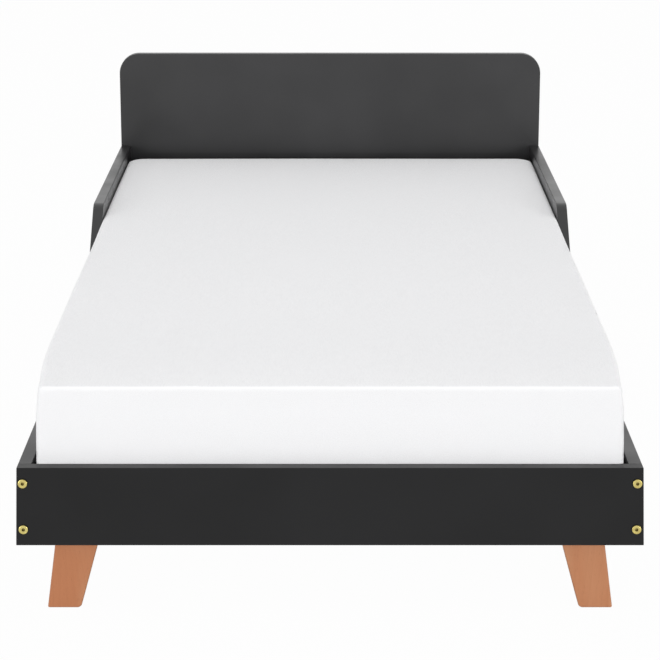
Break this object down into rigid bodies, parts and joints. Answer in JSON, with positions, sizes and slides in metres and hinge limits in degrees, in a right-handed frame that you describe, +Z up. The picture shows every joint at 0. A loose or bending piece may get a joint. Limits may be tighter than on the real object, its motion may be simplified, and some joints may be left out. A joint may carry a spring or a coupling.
{
  "type": "junior bed",
  "caption": "Low junior bed with a rounded headboard, short guard rails at the head end, splayed wooden legs, a slatted base and a mattress in a white fitted sheet.",
  "frame": {"origin": "on the floor, under the middle of the bed", "axes": "+Y from the foot end to the head end, +X to the right seen from the foot end, +Z up"},
  "size_m": [0.7492, 1.4648, 0.4656],
  "materials": {
    "grey_lacquer": "satin",
    "stained_beech": "satin",
    "raw_pine": "matte",
    "beech_dowel": "matte",
    "yellow_zinc": "satin",
    "bright_zinc": "satin",
    "black_webbing": "matte",
    "brown_felt": "matte",
    "white_cotton": "matte",
    "cover_knit": "matte",
    "foam": "matte",
    "elastic": "matte"
  },
  "bodies": {
    "bed_frame": {"foot_board": "grey_lacquer", "headboard": "grey_lacquer", "left_side_rail": "grey_lacquer", "left_guard_rail": "grey_lacquer", "left_slat_ledger": "raw_pine", "left_slat_strap": "black_webbing", "front_left_leg": "stained_beech", "front_left_leg_bracket": "bright_zinc", "back_left_leg": "stained_beech", "back_left_leg_bracket": "bright_zinc", "right_side_rail": "grey_lacquer", "right_guard_rail": "grey_lacquer", "right_slat_ledger": "raw_pine", "right_slat_strap": "black_webbing", "front_right_leg": "stained_beech", "front_right_leg_bracket": "bright_zinc", "back_right_leg": "stained_beech", "back_right_leg_bracket": "bright_zinc", "slat_01": "raw_pine", "slat_02": "raw_pine", "slat_03": "raw_pine", "slat_04": "raw_pine", "slat_05": "raw_pine", "slat_06": "raw_pine", "slat_07": "raw_pine", "slat_08": "raw_pine", "slat_09": "raw_pine", "slat_10": "raw_pine", "slat_11": "raw_pine", "slat_12": "raw_pine", "slat_13": "raw_pine", "foot_bolts": "yellow_zinc", "head_bolts": "yellow_zinc", "guard_bolts": "yellow_zinc", "rail_barrel_nuts": "bright_zinc", "guard_barrel_nuts": "bright_zinc", "guard_plates": "bright_zinc", "guard_plate_screws": "bright_zinc", "ledger_screws": "bright_zinc", "slat_screws": "bright_zinc", "strap_tacks": "bright_zinc", "leg_bracket_screws": "bright_zinc", "leg_steady_screws": "bright_zinc", "leg_hanger_bolts": "bright_zinc", "leg_washers": "bright_zinc", "leg_nuts": "bright_zinc", "frame_dowels": "beech_dowel", "guard_dowels": "beech_dowel", "leg_glides": "brown_felt"},
    "mattress": {"mattress_foam": "foam", "mattress_cover": "cover_knit", "fitted_sheet": "white_cotton", "sheet_elastic": "elastic"}
  },
  "joints": [
    {"name": "mattress_lift", "type": "slide", "parent": "bed_frame", "child": "mattress", "axis": [0, 0, 1], "range_m": [0, 0.32]}
  ]
}
